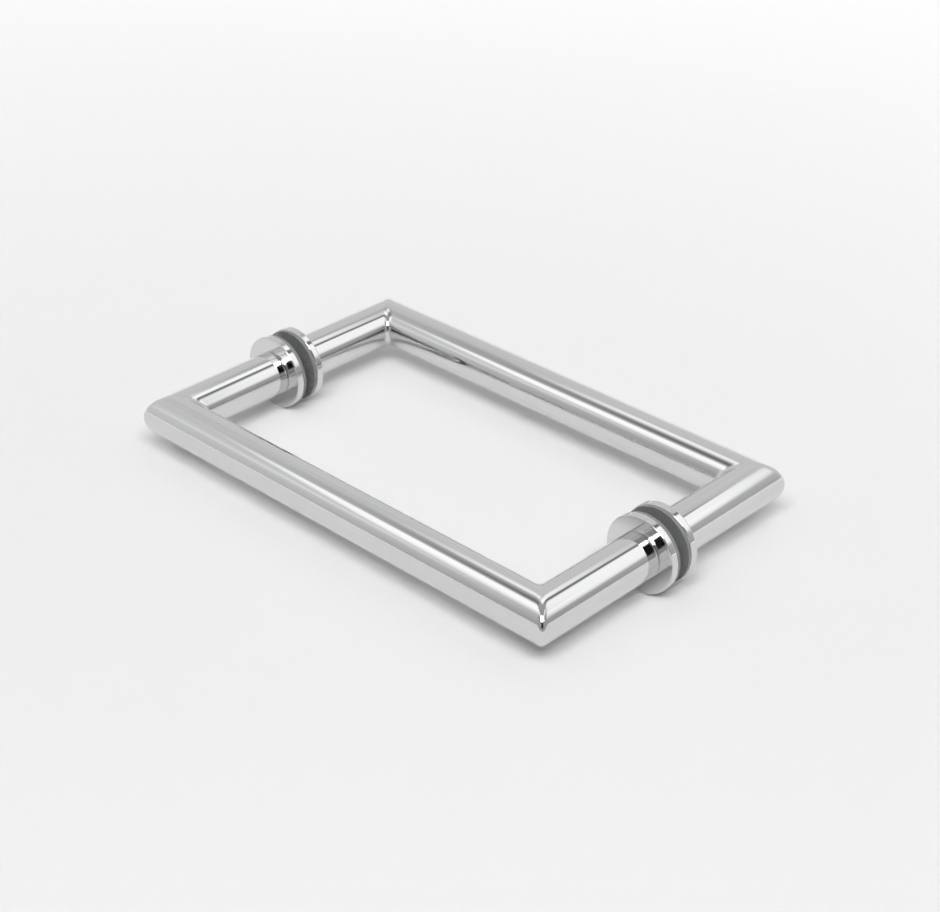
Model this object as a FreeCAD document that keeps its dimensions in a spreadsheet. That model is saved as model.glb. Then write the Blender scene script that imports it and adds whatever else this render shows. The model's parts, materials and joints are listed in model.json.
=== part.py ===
import FreeCAD, Part
from enum import IntEnum
import math
import os
import Sketcher

# Back-to-back shower door pull: two mitred tube pulls clamped through the glass at two posts.
# X runs along the grips, Y goes through the glass from the near pull to the far pull, Z is up.
# The origin is the middle of the glass, halfway between the posts. Lengths are in millimetres.

DRIVING_SIZES = [
    ("post_spacing", 203.2, "centre to centre of the two posts"),
    ("tube_od", 19.05, "outside diameter of the pull tube"),
    ("tube_wall", 2.0, "wall of the pull tube"),
    ("projection", 63.5, "leg end to the outer face of the grip"),
    ("mitre_round", 1.8, "rounding along each mitre, left by polishing the weld"),
    ("tube_edge", 0.5, "rounding round each leg end"),
    ("glass_thickness", 5.0, "glass that the set is closed up for"),
    ("gasket_thickness", 1.5, "clear gasket"),
    ("gasket_inset", 0.4, "gasket rim inside the washer rim"),
    ("washer_od", 31.75, "outside diameter of the washer"),
    ("washer_thickness", 3.2, "washer"),
    ("washer_bore", 8.8, "hole in the washer"),
    ("washer_edge", 0.45, "rounding of the washer rim"),
    ("stud_od", 6.0, "plain shank of the stud"),
    ("thread_od", 5.6, "mean diameter that stands for the stud thread"),
    ("thread_clearance", 0.05, "radial clearance in every tapped hole"),
    ("thread_length", 12.0, "threaded length at each stud end"),
    ("stud_edge", 0.5, "chamfer on the stud ends"),
    ("sleeve_od", 12.0, "outside diameter of the clear sleeve"),
    ("sleeve_wall", 1.6, "wall of the clear sleeve"),
    ("sleeve_clearance", 0.15, "radial clearance of the sleeve in the gaskets"),
    ("sleeve_end_gap", 0.2, "gap between the sleeve ends and the washers"),
    ("braze_gap", 0.05, "radial gap for braze round the plug"),
    ("tap_run", 2.0, "tapped length beyond the stud end in the plug"),
    ("plug_floor", 4.0, "plug left beyond its tapped length"),
    ("plug_edge", 1.0, "chamfer on the inner end of the plug"),
    ("post_clearance", 0.1, "radial clearance of the mounting post in the leg"),
    ("post_tail", 11.0, "mounting post beyond the set screw axis"),
    ("post_edge", 1.0, "lead-in chamfer of the mounting post"),
    ("groove_depth", 2.4, "depth of the V groove round the mounting post"),
    ("socket_width", 6.0, "hexagon socket of the mounting post, across flats"),
    ("socket_depth", 4.0, "hexagon socket of the mounting post"),
    ("set_screw_od", 4.0, "set screw"),
    ("set_screw_station", 11.0, "leg end to the set screw axis"),
    ("set_screw_recess", 0.3, "set screw below the tube surface"),
    ("set_point_gap", 0.1, "gap between the screw point and the groove"),
    ("set_point_flat", 0.3, "radius of the blunt screw point"),
    ("key_width", 2.0, "hexagon socket of the set screw, across flats"),
    ("key_depth", 1.8, "hexagon socket of the set screw"),
]

DRILL_SLOPE = 31  # degrees, at the bottom of a drilled hole

# Sizes that follow from the driving ones
HALF_SPACING = "Sizes.post_spacing / 2"
LEFT_POST = f"-{HALF_SPACING}"
TUBE_R = "Sizes.tube_od / 2"
TUBE_BORE_R = f"({TUBE_R} - Sizes.tube_wall)"
GRIP_REACH = f"(Sizes.projection - {TUBE_R})"
GLASS_FACE = "Sizes.glass_thickness / 2"
GASKET_FACE = f"({GLASS_FACE} + Sizes.gasket_thickness)"
LEG_FACE = f"({GASKET_FACE} + Sizes.washer_thickness)"
WASHER_R = "Sizes.washer_od / 2"
SLEEVE_R = "Sizes.sleeve_od / 2"
THREAD_R = "Sizes.thread_od / 2"
TAPPED_R = f"({THREAD_R} + Sizes.thread_clearance)"
TAP_DEPTH = "(Sizes.thread_length + Sizes.tap_run)"
DRILL_POINT = f"({TAPPED_R} * tan({DRILL_SLOPE}))"
PLUG_R = f"({TUBE_BORE_R} - Sizes.braze_gap)"
PLUG_LENGTH = f"({TAP_DEPTH} + {DRILL_POINT} + Sizes.plug_floor)"
POST_R = f"({TUBE_BORE_R} - Sizes.post_clearance)"
POST_LENGTH = "(Sizes.set_screw_station + Sizes.post_tail)"
SET_SCREW_R = "Sizes.set_screw_od / 2"
SET_SCREW_FACE = f"({TUBE_R} - Sizes.set_screw_recess)"
SET_POINT = f"({POST_R} - Sizes.groove_depth + Sizes.set_point_gap)"
SET_SCREW_LENGTH = f"({SET_SCREW_FACE} - {SET_POINT})"
ON_AXIS = "0"

POST_SIDES = {"left": -1, "right": 1}
GLASS_SIDES = {"near": -1, "far": 1}
HALF_TURN = FreeCAD.Rotation(FreeCAD.Vector(0, 0, 1), 180)
QUARTER_TURN_UP = FreeCAD.Rotation(FreeCAD.Vector(1, 0, 0), 90)
FULL_TURN = 360
HEXAGON_SIDES = 6
TOUCHING = 1e-6


class SketchLine(IntEnum):
    """How a sketch numbers its own two axes."""
    X_AXIS = -1
    Y_AXIS = -2


class SketchPoint(IntEnum):
    """How a sketch numbers the points of a line, arc or circle."""
    START = 1
    END = 2
    CENTRE = 3


ORIGIN_POINT = (SketchLine.X_AXIS, SketchPoint.START)

doc = FreeCAD.newDocument("shower_door_handle")
sizes = doc.addObject("Spreadsheet::Sheet", "Sizes")
sub_parts = []


def fill_sheet():
    for row, (alias, number, meaning) in enumerate(DRIVING_SIZES, start=1):
        sizes.set(f"A{row}", meaning)
        sizes.set(f"B{row}", str(number))
        sizes.setAlias(f"B{row}", alias)
    doc.recompute()


def value(expression):
    """The present value of an expression on the sheet."""
    return float(sizes.evalExpression(expression))


def new_body(label):
    body = doc.addObject("PartDesign::Body", label)
    body.Label = label
    sub_parts.append(body)
    return body


def origin_plane(body, role):
    return next(feature for feature in body.Origin.OriginFeatures if feature.Role == role)


def sketch_on(body, plane_role, name):
    sketch = body.newObject("Sketcher::SketchObject", name)
    sketch.AttachmentSupport = [(origin_plane(body, plane_role), "")]
    sketch.MapMode = "FlatFace"
    return sketch


def constrain(sketch, kind, *references):
    return sketch.addConstraint(Sketcher.Constraint(kind, *references))


def join_lines(sketch, item, following):
    """Ties the end of one line to the start of another."""
    constrain(sketch, "Coincident", item, SketchPoint.END, following, SketchPoint.START)


def bind(sketch, kind, references, expression, name):
    """Adds a dimension to a sketch and ties it to the sheet."""
    index = constrain(sketch, kind, *references, value(expression))
    sketch.renameConstraint(index, name)
    sketch.setExpression(f"Constraints.{name}", expression)


def place_point(sketch, item, point, across, along, name):
    """Fixes a point of a sketch item by its distances from the sketch origin; "0" puts it on that axis."""
    if across == ON_AXIS:
        constrain(sketch, "PointOnObject", item, point, SketchLine.Y_AXIS)
    else:
        bind(sketch, "DistanceX", (*ORIGIN_POINT, item, point), across, f"{name}_across")
    if along == ON_AXIS:
        constrain(sketch, "PointOnObject", item, point, SketchLine.X_AXIS)
    else:
        bind(sketch, "DistanceY", (*ORIGIN_POINT, item, point), along, f"{name}_along")


def draw_lines(sketch, stops):
    """A chain of lines through (across, along) pairs of expressions, each line's start fixed by its pair."""
    points = [FreeCAD.Vector(value(across), value(along), 0) for across, along in stops]
    for index in range(len(points) - 1):
        sketch.addGeometry(Part.LineSegment(points[index], points[index + 1]))
        place_point(sketch, index, SketchPoint.START, *stops[index], f"corner_{index}")
        if index > 0:
            join_lines(sketch, index - 1, index)


def draw_outline(sketch, outline):
    """A closed polygon through (across, along) pairs of expressions."""
    draw_lines(sketch, outline + outline[:1])
    join_lines(sketch, len(outline) - 1, 0)


def draw_circle(sketch, radius, across, along, name):
    centre = FreeCAD.Vector(value(across), value(along), 0)
    circle = sketch.addGeometry(Part.Circle(centre, FreeCAD.Vector(0, 0, 1), value(radius)))
    place_point(sketch, circle, SketchPoint.CENTRE, across, along, name)
    bind(sketch, "Radius", (circle,), radius, f"{name}_radius")


def draw_hexagon(sketch, across_flats):
    """A regular hexagon round the sketch origin, with two corners on the horizontal axis."""
    radius = value(across_flats) / 3 ** 0.5
    step = FreeCAD.Rotation(FreeCAD.Vector(0, 0, 1), FULL_TURN / HEXAGON_SIDES)
    corner = FreeCAD.Vector(radius, 0, 0)
    for side in range(HEXAGON_SIDES):
        following = step.multVec(corner)
        sketch.addGeometry(Part.LineSegment(corner, following))
        corner = following
    ring = sketch.addGeometry(Part.Circle(FreeCAD.Vector(), FreeCAD.Vector(0, 0, 1), radius), True)
    constrain(sketch, "Coincident", ring, SketchPoint.CENTRE, *ORIGIN_POINT)
    for side in range(HEXAGON_SIDES):
        join_lines(sketch, side, (side + 1) % HEXAGON_SIDES)
        constrain(sketch, "PointOnObject", side, SketchPoint.START, ring)
    for side in range(1, HEXAGON_SIDES):
        constrain(sketch, "Equal", 0, side)
    constrain(sketch, "PointOnObject", 0, SketchPoint.START, SketchLine.X_AXIS)
    bind(sketch, "Radius", (ring,), f"{across_flats} / sqrt(3)", "corner_radius")


def turned_body(label, outline):
    """A piece turned about its own Y axis from a half outline of (radius, station) pairs."""
    body = new_body(label)
    sketch = sketch_on(body, "XY_Plane", f"{label}_outline")
    draw_outline(sketch, outline)
    turning = body.newObject("PartDesign::Revolution", f"{label}_turning")
    turning.Profile = sketch
    turning.ReferenceAxis = (sketch, ["V_Axis"])
    turning.Angle = FULL_TURN
    doc.recompute()
    return body


def place(body, across, through, up, rotation):
    """Sets a piece's turn and ties its place to the sheet."""
    body.Placement = FreeCAD.Placement(FreeCAD.Vector(), rotation)
    body.setExpression("Placement.Base.x", across)
    body.setExpression("Placement.Base.y", through)
    body.setExpression("Placement.Base.z", up)


def place_at_post(body, post, glass, distance):
    """Puts a piece on a post with its own +Y pointing away from the glass."""
    rotation = FreeCAD.Rotation() if glass == "far" else HALF_TURN
    across = f"{POST_SIDES[post]} * {HALF_SPACING}"
    place(body, across, f"{GLASS_SIDES[glass]} * {distance}", "0", rotation)


def cut_pocket(body, sketch, depth, name, both_ways=False):
    """A pocket that has to take some material away, below its sketch or half to each side of it."""
    before = body.Shape.Volume
    pocket = body.newObject("PartDesign::Pocket", name)
    pocket.Profile = sketch
    pocket.Midplane = both_ways
    pocket.setExpression("Length", depth)
    doc.recompute()
    if pocket.Shape.Volume > before - TOUCHING:
        raise RuntimeError(f"{name} cut nothing")
    return pocket


def cut_hexagon_socket(body, across_flats, depth):
    """A hexagon socket from the piece's zero station along its own +Y."""
    sketch = sketch_on(body, "XZ_Plane", f"{body.Label}_hexagon")
    draw_hexagon(sketch, across_flats)
    cut_pocket(body, sketch, depth, f"{body.Label}_socket")


def round_edges(shape, radius, wanted):
    """Names of the circular edges of one radius whose centre passes a test."""
    names = []
    for number, edge in enumerate(shape.Edges, start=1):
        is_round = isinstance(edge.Curve, Part.Circle) and abs(edge.Curve.Radius - radius) < TOUCHING
        if is_round and wanted(edge.Curve.Center):
            names.append(f"Edge{number}")
    return names


def face_at(shape, middle):
    """Name of the face whose centre is at a point."""
    for number, face in enumerate(shape.Faces, start=1):
        if (face.CenterOfMass - middle).Length < TOUCHING:
            return f"Face{number}"
    raise RuntimeError(f"no face at {middle}")


def make_pull(label, has_set_screws):
    """A tube swept along legs and grip with softened mitres; the leg ends lie in its XZ plane."""
    body = new_body(label)
    route = sketch_on(body, "XY_Plane", f"{label}_route")
    draw_lines(route, [
        (LEFT_POST, ON_AXIS),
        (LEFT_POST, GRIP_REACH),
        (HALF_SPACING, GRIP_REACH),
        (HALF_SPACING, ON_AXIS),
    ])
    right_leg = route.GeometryCount - 1
    constrain(route, "PointOnObject", right_leg, SketchPoint.END, SketchLine.X_AXIS)
    constrain(route, "Vertical", right_leg)

    section = sketch_on(body, "XZ_Plane", f"{label}_section")
    draw_circle(section, TUBE_R, LEFT_POST, ON_AXIS, "outside")
    draw_circle(section, TUBE_BORE_R, LEFT_POST, ON_AXIS, "bore")
    tube = body.newObject("PartDesign::AdditivePipe", f"{label}_tube")
    tube.Profile = section
    tube.Spine = (route, ["Edge1", "Edge2", "Edge3"])
    tube.Transition = "Right corner"
    doc.recompute()
    soften_mitres(body)
    round_leg_ends(body)
    if has_set_screws:
        drill_set_screw_holes(body)
    return body


def soften_mitres(pull):
    """Cuts a strip along the left mitre, fills it by moving the cut face round an arc, and mirrors both."""
    reach = "Sizes.tube_od"
    half_strip = "Sizes.mitre_round / 2"
    strip = sketch_on(pull, "XY_Plane", f"{pull.Label}_mitre_strip")
    draw_outline(strip, [
        (f"{LEFT_POST} - {reach} - {half_strip}", f"{GRIP_REACH} + {reach} - {half_strip}"),
        (f"{LEFT_POST} + {reach} - {half_strip}", f"{GRIP_REACH} - {reach} - {half_strip}"),
        (f"{LEFT_POST} + {reach} + {half_strip}", f"{GRIP_REACH} - {reach} + {half_strip}"),
        (f"{LEFT_POST} - {reach} + {half_strip}", f"{GRIP_REACH} + {reach} + {half_strip}"),
    ])
    gap = cut_pocket(pull, strip, "2 * Sizes.tube_od", f"{pull.Label}_mitre_gap", both_ways=True)
    arc = draw_mitre_arc(pull)
    leg_stop = FreeCAD.Vector(value(LEFT_POST), value(f"{GRIP_REACH} - Sizes.mitre_round"), 0)
    corner = pull.newObject("PartDesign::AdditivePipe", f"{pull.Label}_left_mitre")
    corner.Profile = (gap, [face_at(gap.Shape, leg_stop)])
    corner.Spine = (arc, ["Edge1"])
    corner.Mode = "Fixed"
    doc.recompute()
    mirrored = pull.newObject("PartDesign::Mirrored", f"{pull.Label}_right_mitre")
    mirrored.Originals = [gap, corner]
    mirrored.MirrorPlane = (origin_plane(pull, "YZ_Plane"), [""])
    pull.Tip = mirrored
    doc.recompute()


def draw_mitre_arc(pull):
    """A quarter circle from the grip axis to the left leg's axis."""
    across = f"{LEFT_POST} + Sizes.mitre_round"
    along = f"{GRIP_REACH} - Sizes.mitre_round"
    centre = FreeCAD.Vector(value(across), value(along), 0)
    circle = Part.Circle(centre, FreeCAD.Vector(0, 0, 1), value("Sizes.mitre_round"))
    sketch = sketch_on(pull, "XY_Plane", f"{pull.Label}_mitre_arc")
    arc = sketch.addGeometry(Part.ArcOfCircle(circle, math.pi / 2, math.pi))
    place_point(sketch, arc, SketchPoint.CENTRE, across, along, "centre")
    bind(sketch, "Radius", (arc,), "Sizes.mitre_round", "rounding")
    constrain(sketch, "Vertical", arc, SketchPoint.START, arc, SketchPoint.CENTRE)
    constrain(sketch, "Horizontal", arc, SketchPoint.END, arc, SketchPoint.CENTRE)
    doc.recompute()
    return sketch


def round_leg_ends(pull):
    tube = pull.Tip
    leg_rims = round_edges(tube.Shape, value(TUBE_R), lambda centre: abs(centre.y) < TOUCHING)
    rounding = pull.newObject("PartDesign::Fillet", f"{pull.Label}_leg_ends")
    rounding.Base = (tube, leg_rims)
    rounding.setExpression("Radius", "Sizes.tube_edge")
    doc.recompute()


def drill_set_screw_holes(pull):
    """Tapped holes through the lower wall of both legs."""
    hole_r = f"({SET_SCREW_R} + Sizes.thread_clearance)"
    sketch = sketch_on(pull, "XY_Plane", f"{pull.Label}_hole_circles")
    for post, side in POST_SIDES.items():
        draw_circle(sketch, hole_r, f"{side} * {HALF_SPACING}", "Sizes.set_screw_station", post)
    cut_pocket(pull, sketch, "Sizes.tube_od", f"{pull.Label}_set_screw_holes")


def make_washer(label):
    body = turned_body(label, [
        ("Sizes.washer_bore / 2", ON_AXIS),
        (WASHER_R, ON_AXIS),
        (WASHER_R, "Sizes.washer_thickness"),
        ("Sizes.washer_bore / 2", "Sizes.washer_thickness"),
    ])
    turning = body.Tip
    rims = round_edges(turning.Shape, value(WASHER_R), lambda centre: True)
    rounding = body.newObject("PartDesign::Fillet", f"{label}_rim")
    rounding.Base = (turning, rims)
    rounding.setExpression("Radius", "Sizes.washer_edge")
    doc.recompute()
    return body


def make_gasket(label):
    bore = f"({SLEEVE_R} + Sizes.sleeve_clearance)"
    rim = f"({WASHER_R} - Sizes.gasket_inset)"
    return turned_body(label, [
        (bore, ON_AXIS),
        (rim, ON_AXIS),
        (rim, "Sizes.gasket_thickness"),
        (bore, "Sizes.gasket_thickness"),
    ])


def make_sleeve(label):
    bore = f"({SLEEVE_R} - Sizes.sleeve_wall)"
    length = f"(2 * ({GASKET_FACE} - Sizes.sleeve_end_gap))"
    return turned_body(label, [(bore, ON_AXIS), (SLEEVE_R, ON_AXIS), (SLEEVE_R, length), (bore, length)])


def make_stud(label):
    tip_r = f"({THREAD_R} - Sizes.stud_edge)"
    far_shoulder = f"(Sizes.thread_length + 2 * {LEG_FACE})"
    length = f"(2 * Sizes.thread_length + 2 * {LEG_FACE})"
    return turned_body(label, [
        (ON_AXIS, ON_AXIS),
        (tip_r, ON_AXIS),
        (THREAD_R, "Sizes.stud_edge"),
        (THREAD_R, "Sizes.thread_length"),
        ("Sizes.stud_od / 2", "Sizes.thread_length"),
        ("Sizes.stud_od / 2", far_shoulder),
        (THREAD_R, far_shoulder),
        (THREAD_R, f"({length} - Sizes.stud_edge)"),
        (tip_r, length),
        (ON_AXIS, length),
    ])


def make_plug(label):
    """A plug tapped blind from its zero station, which is flush with the leg end."""
    return turned_body(label, [
        (TAPPED_R, ON_AXIS),
        (PLUG_R, ON_AXIS),
        (PLUG_R, f"({PLUG_LENGTH} - Sizes.plug_edge)"),
        (f"({PLUG_R} - Sizes.plug_edge)", PLUG_LENGTH),
        (ON_AXIS, PLUG_LENGTH),
        (ON_AXIS, f"({TAP_DEPTH} + {DRILL_POINT})"),
        (TAPPED_R, TAP_DEPTH),
    ])


def make_mounting_post(label):
    """A post tapped through, with a V groove; the socket end is its zero station."""
    body = turned_body(label, [
        (TAPPED_R, ON_AXIS),
        (f"({POST_R} - Sizes.post_edge)", ON_AXIS),
        (POST_R, "Sizes.post_edge"),
        (POST_R, "(Sizes.post_tail - Sizes.groove_depth)"),
        (f"({POST_R} - Sizes.groove_depth)", "Sizes.post_tail"),
        (POST_R, "(Sizes.post_tail + Sizes.groove_depth)"),
        (POST_R, POST_LENGTH),
        (TAPPED_R, POST_LENGTH),
    ])
    cut_hexagon_socket(body, "Sizes.socket_width", "Sizes.socket_depth")
    return body


def make_set_screw(label):
    """A set screw with a right-angled cone point; the socket end is its zero station."""
    cone_start = f"({SET_SCREW_LENGTH} - {SET_SCREW_R})"
    point_station = f"({SET_SCREW_LENGTH} - Sizes.set_point_flat)"
    body = turned_body(label, [
        (ON_AXIS, ON_AXIS),
        (SET_SCREW_R, ON_AXIS),
        (SET_SCREW_R, cone_start),
        ("Sizes.set_point_flat", point_station),
        (ON_AXIS, point_station),
    ])
    cut_hexagon_socket(body, "Sizes.key_width", "Sizes.key_depth")
    return body


def build_pulls():
    place(make_pull("near_pull", True), "0", f"-{LEG_FACE}", "0", HALF_TURN)
    place(make_pull("far_pull", False), "0", LEG_FACE, "0", FreeCAD.Rotation())


def build_posts():
    for post, side in POST_SIDES.items():
        across = f"{side} * {HALF_SPACING}"
        for glass in GLASS_SIDES:
            place_at_post(make_washer(f"{glass}_washer_{post}"), post, glass, GASKET_FACE)
            place_at_post(make_gasket(f"{glass}_gasket_{post}"), post, glass, GLASS_FACE)
        place_at_post(make_plug(f"far_plug_{post}"), post, "far", LEG_FACE)
        place(make_sleeve(f"glass_sleeve_{post}"), across,
              f"Sizes.sleeve_end_gap - {GASKET_FACE}", "0", FreeCAD.Rotation())
        place(make_stud(f"through_stud_{post}"), across,
              f"-{LEG_FACE} - Sizes.thread_length", "0", FreeCAD.Rotation())
        place(make_mounting_post(f"mounting_post_{post}"), across,
              f"-{LEG_FACE} - {POST_LENGTH}", "0", FreeCAD.Rotation())
        place(make_set_screw(f"set_screw_{post}"), across,
              f"-{LEG_FACE} - Sizes.set_screw_station", f"-{SET_SCREW_FACE}", QUARTER_TURN_UP)


def check_document():
    for item in doc.Objects:
        if "Invalid" in item.State or "Error" in item.State:
            raise RuntimeError(f"{item.Label} failed: {item.State}")
    for body in sub_parts:
        if body.Shape.isNull() or not body.Shape.isValid() or len(body.Shape.Solids) != 1:
            raise RuntimeError(f"{body.Label} is not one valid solid")


def export_parts():
    os.makedirs("parts", exist_ok=True)
    for body in sub_parts:
        body.Shape.exportStep(f"parts/{body.Label}.step")


fill_sheet()
build_pulls()
build_posts()
doc.recompute()
check_document()
export_parts()
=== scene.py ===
"""A shower door handle: two pulls of mitred chrome tube, back to back on washers, on a pale floor."""
import json
import math
from typing import NamedTuple

import bpy
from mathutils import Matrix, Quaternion, Vector


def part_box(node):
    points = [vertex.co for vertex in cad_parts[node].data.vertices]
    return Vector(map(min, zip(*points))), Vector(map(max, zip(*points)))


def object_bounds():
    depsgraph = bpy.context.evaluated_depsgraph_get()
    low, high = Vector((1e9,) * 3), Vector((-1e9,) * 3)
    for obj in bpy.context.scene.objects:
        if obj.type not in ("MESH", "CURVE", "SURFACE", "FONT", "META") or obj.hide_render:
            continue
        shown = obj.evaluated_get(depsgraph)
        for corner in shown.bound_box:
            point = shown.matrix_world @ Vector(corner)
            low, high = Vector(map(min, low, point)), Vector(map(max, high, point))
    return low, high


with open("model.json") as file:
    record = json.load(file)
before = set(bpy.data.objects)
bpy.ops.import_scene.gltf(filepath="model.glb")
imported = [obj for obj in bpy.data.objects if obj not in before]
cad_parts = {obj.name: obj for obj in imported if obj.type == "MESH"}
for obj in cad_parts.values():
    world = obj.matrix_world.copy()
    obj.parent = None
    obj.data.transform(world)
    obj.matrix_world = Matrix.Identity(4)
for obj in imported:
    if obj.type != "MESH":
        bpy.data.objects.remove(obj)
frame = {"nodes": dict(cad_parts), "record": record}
cad_low, cad_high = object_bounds()

MM = 0.001
UP = Vector((0.0, 0.0, 1.0))

# The axes of legs and grip, from the near pull's box. They cross at the mitres.
pull_low, pull_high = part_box("near_pull")
TUBE_RADIUS = pull_high.z
POST_X = pull_high.x - TUBE_RADIUS
GRIP_Y = -pull_low.y - TUBE_RADIUS

# Chrome has fine polishing lines, drawn out along each tube.
CHROME_LINES = 1500.0
CHROME_LINE_STRETCH = 0.015
CHROME_LINE_DEPTH = 0.01 * MM
CHROME_LINE_STRENGTH = 0.3
CHROME_DARK = (0.64, 0.642, 0.648)
CHROME_LIGHT = (0.745, 0.747, 0.75)
CHROME_ROUGHNESS = (0.045, 0.075)

# Polishing rounds the mitre ridges of the tubes a little further, and the washers' edges very little.
TUBE_EDGE_ROUND = 1.8 * MM
WASHER_EDGE_ROUND = 0.3 * MM
EDGE_SAMPLES = 8

# Camera, as fitted to the tube edges in the photograph. The sensor's 36 mm lie across the frame's width.
CAMERA_LENS = 76.23
CAMERA_TARGET = Vector((7.348, 0.914, 0.0)) * MM
CAMERA_DISTANCE = 793.2 * MM
CAMERA_AZIMUTH = math.radians(43.886)
CAMERA_ELEVATION = math.radians(30.697)
CAMERA_ROLL = math.radians(0.063)

# The paper floor carries a painted glow, seen by the eye and in mirrors, that brightens away from a spot
# before the handle until it meets the backdrop.
FLOOR_HALF = 15.0
FLOOR_GLOW_SPOT = 0.45
FLOOR_GLOW_RANGE = (0.28, 2.2)
FLOOR_GLOW = 0.82
PAPER_FIBRES = 60.0
PAPER_DARK = 0.865
PAPER_LIGHT = 0.875
BACKDROP = 1.0

# Studio walls turn from dark to light along the light side, and to the ceiling with height.
WALL_DARK = 0.42
WALL_LIGHT = 0.74
WALL_LIGHT_AZIMUTH = math.radians(230.0)
WALL_TURN = (-0.25, 0.16)
WALL_ON_MATT = 0.42
CEILING = 0.42
CEILING_TURN = (0.70, 0.82)
STREAK_STRETCH = (0.7, 0.7, 14.0)
STREAK_DETAIL = 2.0
STREAK_SHADES = (0.90, 1.10)

# The key light hangs above the camera; a thin rail of light runs on from it to both sides.
KEY_DISTANCE = 2.4
KEY_ELEVATION = math.radians(57.0)
KEY_HALF = (1.1, 0.42)
KEY_RADIANCE = 16.9
KEY_FADES = (0.3, 0.3, 0.3, 0.3)
RAIL_HALF_HEIGHT = math.radians(3.5)
RAIL_HALF_SWEEP = math.radians(92.0)
RAIL_STEPS = 24
RAIL_RADIANCE = 1.6

# The dark side of the studio behind the camera: painted shade, a near-black sheet that only the chrome's
# reflections show.
DARK_DISTANCE = 1.1
DARK_HEIGHT = 0.675
DARK_HALF = (0.38, 0.375)
SHADE_SHEET_WAVES = 3.0
SHADE_SHEET_DARK = 0.010
SHADE_SHEET_LIGHT = 0.020


class Softbox(NamedTuple):
    """A sheet of light over the handle, facing down.

    It fades out towards its own -x, +x, -y and +y rims, each over a share of its half size.
    """

    centre: tuple
    half: tuple
    radiance: float
    fades: tuple
    turn: float = 0.0


# The dim sheets are the gaps between the lit ones, which the chrome shows as dark lines.
SOFTBOXES = {
    "softbox_front_left": Softbox(
        centre=(-0.55, -0.615, 0.80), half=(0.32, 0.425), radiance=1.38, fades=(0.5, 0.5, 1.32, 0.26)),
    "softbox_low_left": Softbox(
        centre=(-1.10, -1.02, 0.80), half=(0.38, 0.28), radiance=0.92, fades=(0.5, 0.5, 0.6, 0.6)),
    "softbox_left": Softbox(
        centre=(-0.43, 0.315, 0.80), half=(0.25, 0.255), radiance=1.2, fades=(0.8, 0.8, 0.8, 0.8)),
    "softbox_back_left": Softbox(
        centre=(-0.13, 0.45, 0.80), half=(0.18, 0.33), radiance=1.38, fades=(0.4, 0.4, 0.3, 0.8)),
    "softbox_back_right": Softbox(
        centre=(1.379, 1.145, 0.80), half=(1.34, 0.36), radiance=1.29, fades=(1.39, 0.075, 0.85, 0.72),
        turn=math.radians(24.0)),
    "gap_left": Softbox(
        centre=(-0.855, -0.12, 1.50), half=(0.305, 0.16), radiance=0.17, fades=(0.3, 1.25, 0.5, 0.5)),
    "gap_back": Softbox(
        centre=(0.12, 0.575, 0.78), half=(0.07, 0.245), radiance=0.18, fades=(0.4, 0.4, 0.6, 0.6)),
}


def direction(azimuth, elevation):
    """The unit vector from the handle towards an azimuth, counted from -Y towards +X, and an elevation."""
    level = math.cos(elevation)
    return Vector((math.sin(azimuth) * level, -math.cos(azimuth) * level, math.sin(elevation)))


CAMERA_SIDE = direction(CAMERA_AZIMUTH, 0.0)


def grey(tone):
    """A neutral colour of the given tone."""
    return (tone, tone, tone)


def node_material(name):
    """A new node material, with its nodes, its links and its Principled shader."""
    material = bpy.data.materials.new(name)
    material.use_nodes = True
    tree = material.node_tree
    return material, tree.nodes, tree.links, tree.nodes["Principled BSDF"]


def set_inputs(node, **values):
    """Sets a node's sockets by name, with underscores for the spaces in the names."""
    for name, value in values.items():
        node.inputs[name.replace("_", " ")].default_value = value


def object_coordinates(nodes):
    """Coordinates in the object's own frame."""
    return nodes.new("ShaderNodeTexCoord").outputs["Object"]


def noise(nodes, links, coordinates, scale, detail=3.0):
    """A noise texture over the given coordinates."""
    texture = nodes.new("ShaderNodeTexNoise")
    set_inputs(texture, Scale=scale, Detail=detail)
    links.new(coordinates, texture.inputs["Vector"])
    return texture.outputs["Fac"]


def spread(nodes, links, value, low, high, source=(0.3, 0.7), kind="LINEAR"):
    """A value carried from a source range to the range between low and high."""
    ramp = nodes.new("ShaderNodeMapRange")
    ramp.interpolation_type = kind
    set_inputs(ramp, From_Min=source[0], From_Max=source[1], To_Min=low, To_Max=high)
    links.new(value, ramp.inputs["Value"])
    return ramp.outputs["Result"]


def joined(nodes, links, operation, first, second):
    """Two values added or multiplied."""
    node = nodes.new("ShaderNodeMath")
    node.operation = operation
    links.new(first, node.inputs[0])
    links.new(second, node.inputs[1])
    return node.outputs["Value"]


def giving_way(nodes, links, factor, value, constant):
    """A value that gives way to a constant as the factor goes from 0 to 1."""
    node = nodes.new("ShaderNodeMix")
    node.data_type = "FLOAT"
    links.new(factor, node.inputs["Factor"])
    links.new(value, node.inputs["A"])
    node.inputs["B"].default_value = constant
    return node.outputs["Result"]


def vector_math(nodes, links, operation, vector, other=(0.0, 0.0, 0.0)):
    """The outputs of an operation on a vector and, where the operation takes one, a constant vector."""
    node = nodes.new("ShaderNodeVectorMath")
    node.operation = operation
    links.new(vector, node.inputs[0])
    node.inputs[1].default_value = other
    return node.outputs


def along(nodes, links, vector, axis):
    """How far a vector reaches along an axis."""
    return vector_math(nodes, links, "DOT_PRODUCT", vector, axis)["Value"]


def two_tones(nodes, links, factor, dark, light):
    """A colour between two tones."""
    ramp = nodes.new("ShaderNodeValToRGB")
    ramp.color_ramp.elements[0].color = (*dark, 1.0)
    ramp.color_ramp.elements[1].color = (*light, 1.0)
    links.new(factor, ramp.inputs["Fac"])
    return ramp.outputs["Color"]


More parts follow.
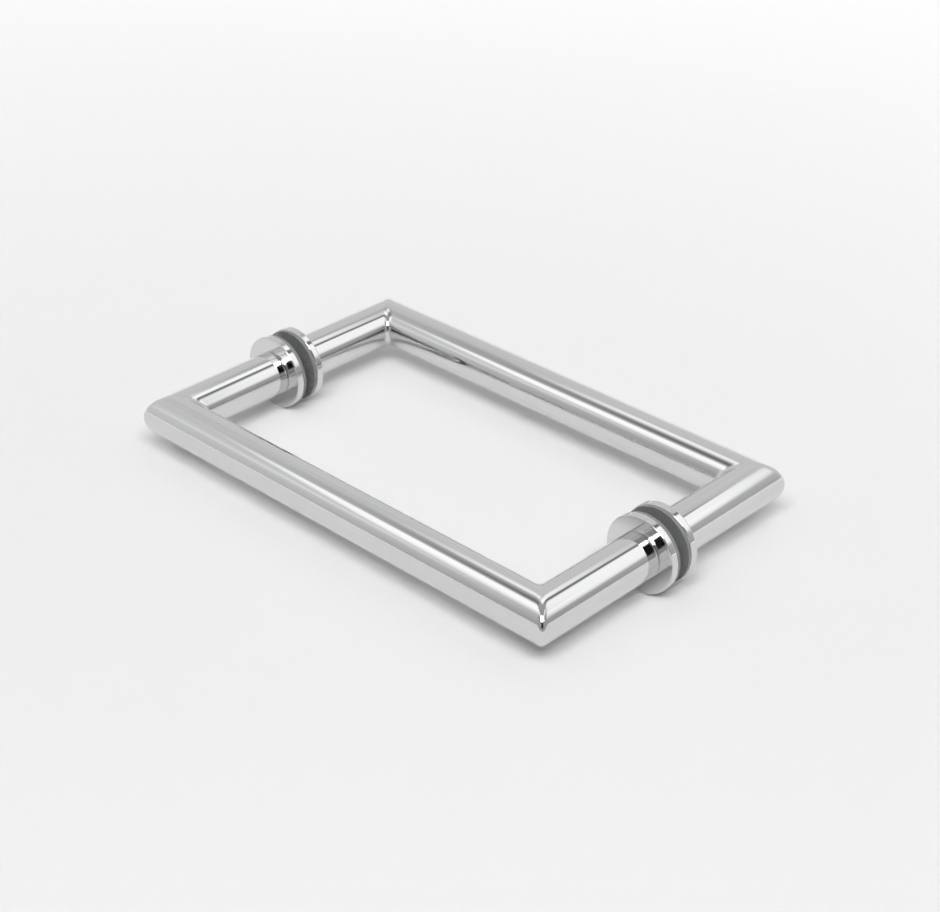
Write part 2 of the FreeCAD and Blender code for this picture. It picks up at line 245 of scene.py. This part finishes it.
def mix_surface(nodes, links, factor, first, second):
    """Makes the surface go from the first shader to the second as the factor goes from 0 to 1."""
    mix = nodes.new("ShaderNodeMixShader")
    links.new(factor, mix.inputs["Fac"])
    links.new(first, mix.inputs[1])
    links.new(second, mix.inputs[2])
    links.new(mix.outputs["Shader"], nodes["Material Output"].inputs["Surface"])


def grained_material(name, grain, dark, light, roughness):
    """A material whose tone and roughness follow one noise of the given grain."""
    material, nodes, links, shader = node_material(name)
    marks = noise(nodes, links, object_coordinates(nodes), grain)
    links.new(two_tones(nodes, links, marks, dark, light), shader.inputs["Base Color"])
    links.new(spread(nodes, links, marks, *roughness), shader.inputs["Roughness"])
    return material, shader


def vector_socket(sockets, name):
    """The socket of that name that carries a vector, where a node has one for each kind of value."""
    return next(socket for socket in sockets if socket.name == name and socket.type == "VECTOR")


def tube_grain(nodes, links):
    """Coordinates drawn out along the grips and, past the mitres, along the legs."""
    spot = object_coordinates(nodes)
    folded = vector_math(nodes, links, "ABSOLUTE", spot)["Vector"]
    past_mitre = along(nodes, links, folded, (-1.0, 1.0, 0.0))
    on_grip = nodes.new("ShaderNodeMath")
    on_grip.operation = "GREATER_THAN"
    on_grip.inputs[1].default_value = GRIP_Y - POST_X
    links.new(past_mitre, on_grip.inputs[0])
    choice = nodes.new("ShaderNodeMix")
    choice.data_type = "VECTOR"
    links.new(on_grip.outputs["Value"], choice.inputs["Factor"])
    leg_scale = (1.0, CHROME_LINE_STRETCH, 1.0)
    grip_scale = (CHROME_LINE_STRETCH, 1.0, 1.0)
    for name, scale in (("A", leg_scale), ("B", grip_scale)):
        drawn = vector_math(nodes, links, "MULTIPLY", spot, scale)["Vector"]
        links.new(drawn, vector_socket(choice.inputs, name))
    return vector_socket(choice.outputs, "Result")


def chrome_material(name, edge_round):
    """Polished chrome plate: nearly a mirror, with faint lines along the tubes and soft edges."""
    material, nodes, links, shader = node_material(name)
    lines = noise(nodes, links, tube_grain(nodes, links), CHROME_LINES)
    links.new(two_tones(nodes, links, lines, CHROME_DARK, CHROME_LIGHT), shader.inputs["Base Color"])
    links.new(spread(nodes, links, lines, *CHROME_ROUGHNESS), shader.inputs["Roughness"])
    edge = nodes.new("ShaderNodeBevel")
    edge.samples = EDGE_SAMPLES
    set_inputs(edge, Radius=edge_round)
    bump = nodes.new("ShaderNodeBump")
    set_inputs(bump, Strength=CHROME_LINE_STRENGTH, Distance=CHROME_LINE_DEPTH)
    links.new(lines, bump.inputs["Height"])
    links.new(edge.outputs["Normal"], bump.inputs["Normal"])
    links.new(bump.outputs["Normal"], shader.inputs["Normal"])
    set_inputs(shader, Metallic=1.0)
    return material


def brass_material():
    """Turned brass with fine tool marks."""
    material, shader = grained_material(
        "turned_brass", grain=900.0, dark=(0.66, 0.50, 0.22), light=(0.80, 0.64, 0.32),
        roughness=(0.22, 0.36))
    set_inputs(shader, Metallic=1.0)
    return material


def steel_material():
    """Bright steel of the studs and set screws."""
    material, shader = grained_material(
        "bright_steel", grain=700.0, dark=(0.50, 0.50, 0.51), light=(0.62, 0.62, 0.62),
        roughness=(0.18, 0.32))
    set_inputs(shader, Metallic=1.0)
    return material


def vinyl_material():
    """Clear vinyl with a milky cloud in it."""
    material, shader = grained_material(
        "clear_vinyl", grain=300.0, dark=(0.68, 0.69, 0.70), light=(0.80, 0.81, 0.82),
        roughness=(0.14, 0.26))
    set_inputs(shader, Transmission_Weight=0.7, IOR=1.5)
    return material


def floor_material():
    """Matt white paper with a painted glow, brighter far out to the eye and in mirrors, and clear when
    seen from below.
    """
    material, nodes, links, shader = node_material("white_paper")
    fibres = noise(nodes, links, object_coordinates(nodes), PAPER_FIBRES)
    paper = two_tones(nodes, links, fibres, grey(PAPER_DARK), grey(PAPER_LIGHT))
    links.new(paper, shader.inputs["Base Color"])
    set_inputs(shader, Roughness=0.9, Specular_IOR_Level=0.1, Emission_Color=(1.0, 1.0, 1.0, 1.0))
    spot = nodes.new("ShaderNodeNewGeometry").outputs
    # Painted glow: white emission that grows with the distance from a spot before the handle, shown only
    # to camera, glossy and transmission rays.
    away = vector_math(nodes, links, "DISTANCE", spot["Position"], CAMERA_SIDE * FLOOR_GLOW_SPOT)["Value"]
    painted_glow = spread(nodes, links, away, 0.0, FLOOR_GLOW, FLOOR_GLOW_RANGE, "SMOOTHSTEP")
    ray = nodes.new("ShaderNodeLightPath").outputs
    seen = joined(nodes, links, "ADD", ray["Is Camera Ray"], ray["Is Glossy Ray"])
    seen = joined(nodes, links, "ADD", seen, ray["Is Transmission Ray"])
    links.new(joined(nodes, links, "MULTIPLY", painted_glow, seen), shader.inputs["Emission Strength"])
    clear = nodes.new("ShaderNodeBsdfTransparent").outputs["BSDF"]
    mix_surface(nodes, links, spot["Backfacing"], shader.outputs["BSDF"], clear)
    return material


def shade_sheet_material():
    """Painted shade for the chrome's reflections: a near-black sheet with soft waves of tone."""
    material, nodes, links, shader = node_material("painted_shade_sheet")
    shade_waves = noise(nodes, links, object_coordinates(nodes), SHADE_SHEET_WAVES)
    shade_tone = two_tones(nodes, links, shade_waves, grey(SHADE_SHEET_DARK), grey(SHADE_SHEET_LIGHT))
    links.new(shade_tone, shader.inputs["Base Color"])
    set_inputs(shader, Roughness=1.0, Specular_IOR_Level=0.0)
    return material


def glow_material(name, radiance, fades=None):
    """A softbox's lit front. It fades out at its rims where fades are given for -x, +x, -y and +y."""
    material, nodes, links, shader = node_material(name)
    nodes.remove(shader)
    lamp = nodes.new("ShaderNodeEmission")
    set_inputs(lamp, Strength=radiance)
    glow = lamp.outputs["Emission"]
    if fades is None:
        links.new(glow, nodes["Material Output"].inputs["Surface"])
        return material
    split = nodes.new("ShaderNodeSeparateXYZ")
    links.new(object_coordinates(nodes), split.inputs["Vector"])
    parts = []
    for axis, low, high in (("X", *fades[:2]), ("Y", *fades[2:])):
        for rim, inside in ((-1.0, low - 1.0), (1.0, 1.0 - high)):
            parts.append(spread(nodes, links, split.outputs[axis], 0.0, 1.0, (rim, inside), "SMOOTHSTEP"))
    cover = parts[0]
    for part in parts[1:]:
        cover = joined(nodes, links, "MULTIPLY", cover, part)
    clear = nodes.new("ShaderNodeBsdfTransparent").outputs["BSDF"]
    mix_surface(nodes, links, cover, clear, glow)
    return material


def sheet(name, material, vertices, faces):
    """A thin sheet of the studio."""
    mesh = bpy.data.meshes.new(name)
    mesh.from_pydata(vertices, [], faces)
    mesh.materials.append(material)
    thing = bpy.data.objects.new(name, mesh)
    bpy.context.scene.collection.objects.link(thing)
    return thing


def square_sheet(name, material):
    """A level square of two units each way, to be scaled and placed."""
    return sheet(name, material, [(-1, -1, 0), (1, -1, 0), (1, 1, 0), (-1, 1, 0)], [(0, 1, 2, 3)])


def hang(thing, centre, half, face, turn=0.0):
    """Scales a square sheet, turns its front to the given direction and hangs it, hidden from the eye."""
    thing.location = centre
    thing.scale = (*half, 1.0)
    thing.rotation_mode = "QUATERNION"
    thing.rotation_quaternion = Quaternion(UP, turn) @ face.to_track_quat("Z", "Y")
    thing.visible_camera = False


def add_floor():
    """The paper floor that the washers rest on."""
    floor = square_sheet("floor", floor_material())
    floor.location = (0.0, 0.0, cad_low.z)
    floor.scale = (FLOOR_HALF, FLOOR_HALF, 1.0)


def add_camera():
    """The camera, at the photograph's angle."""
    data = bpy.data.cameras.new("camera")
    data.lens = CAMERA_LENS
    camera = bpy.data.objects.new("camera", data)
    bpy.context.scene.collection.objects.link(camera)
    back = direction(CAMERA_AZIMUTH, CAMERA_ELEVATION)
    camera.location = CAMERA_TARGET + back * CAMERA_DISTANCE
    camera.rotation_mode = "QUATERNION"
    camera.rotation_quaternion = (-back).to_track_quat("-Z", "Y") @ Quaternion(UP, CAMERA_ROLL)
    bpy.context.scene.camera = camera


def add_world():
    """Streaked studio walls, brightest at the back left, under a darker ceiling; pale to the eye."""
    world = bpy.data.worlds.new("studio")
    bpy.context.scene.world = world
    world.use_nodes = True
    nodes = world.node_tree.nodes
    links = world.node_tree.links
    way = nodes.new("ShaderNodeTexCoord").outputs["Generated"]
    side = along(nodes, links, way, direction(WALL_LIGHT_AZIMUTH, 0.0))
    walls = spread(nodes, links, side, WALL_DARK, WALL_LIGHT, WALL_TURN, "SMOOTHSTEP")
    height = along(nodes, links, way, UP)
    high = spread(nodes, links, height, 0.0, 1.0, CEILING_TURN, "SMOOTHSTEP")
    room = giving_way(nodes, links, high, walls, CEILING)
    stretched = vector_math(nodes, links, "MULTIPLY", way, STREAK_STRETCH)["Vector"]
    bands = noise(nodes, links, stretched, 1.0, STREAK_DETAIL)
    room = joined(nodes, links, "MULTIPLY", room, spread(nodes, links, bands, *STREAK_SHADES))
    ray = nodes.new("ShaderNodeLightPath").outputs
    share = spread(nodes, links, ray["Is Diffuse Ray"], 1.0, WALL_ON_MATT, (0.0, 1.0))
    room = joined(nodes, links, "MULTIPLY", room, share)
    shader = nodes["Background"]
    links.new(giving_way(nodes, links, ray["Is Camera Ray"], room, BACKDROP), shader.inputs["Strength"])
    set_inputs(shader, Color=(1.0, 1.0, 1.0, 1.0))


def add_dark_side():
    """The unlit side of the studio behind the camera, as the chrome mirrors it."""
    dark_side = square_sheet("dark_side", shade_sheet_material())
    hang(dark_side, CAMERA_SIDE * DARK_DISTANCE + UP * DARK_HEIGHT, DARK_HALF, -CAMERA_SIDE)
    # Painted shade: the sheet lights nothing and casts no shadow, and shows only to glossy and
    # transmission rays.
    dark_side.visible_diffuse = False
    dark_side.visible_shadow = False


def add_rail():
    """The thin curved light on both sides of the key light, in reach of the mitred corners."""
    vertices = []
    for step in range(RAIL_STEPS + 1):
        azimuth = CAMERA_AZIMUTH + RAIL_HALF_SWEEP * (2.0 * step / RAIL_STEPS - 1.0)
        for lift in (-RAIL_HALF_HEIGHT, RAIL_HALF_HEIGHT):
            vertices.append(direction(azimuth, KEY_ELEVATION + lift) * KEY_DISTANCE)
    faces = [(2 * step, 2 * step + 2, 2 * step + 3, 2 * step + 1) for step in range(RAIL_STEPS)]
    rail = sheet("light_rail", glow_material("light_rail", RAIL_RADIANCE), vertices, faces)
    rail.visible_camera = False


def add_lights():
    """The key light, the softboxes that the chrome mirrors, and the studio round them."""
    key_side = direction(CAMERA_AZIMUTH, KEY_ELEVATION)
    key = square_sheet("softbox_key", glow_material("softbox_key", KEY_RADIANCE, KEY_FADES))
    hang(key, key_side * KEY_DISTANCE, KEY_HALF, -key_side)
    for name, box in SOFTBOXES.items():
        softbox = square_sheet(name, glow_material(name, box.radiance, box.fades))
        hang(softbox, box.centre, box.half, -UP, box.turn)
    add_rail()
    add_world()
    add_dark_side()


def dress_nodes():
    """Gives each node the material of its slot, with softer edges on the tubes than on the washers."""
    tube_chrome = chrome_material("tube_chrome", TUBE_EDGE_ROUND)
    looks = {
        "chrome": chrome_material("washer_chrome", WASHER_EDGE_ROUND),
        "brass": brass_material(),
        "steel": steel_material(),
        "clear_vinyl": vinyl_material(),
    }
    for part in frame["record"]["subparts"]:
        node = frame["nodes"][part["node"]]
        is_pull = part["node"].endswith("_pull")
        node.data.materials.clear()
        node.data.materials.append(tube_chrome if is_pull else looks[part["material_slot"]])


bpy.context.scene.view_settings.view_transform = "Standard"
dress_nodes()
add_floor()
add_camera()
add_lights()
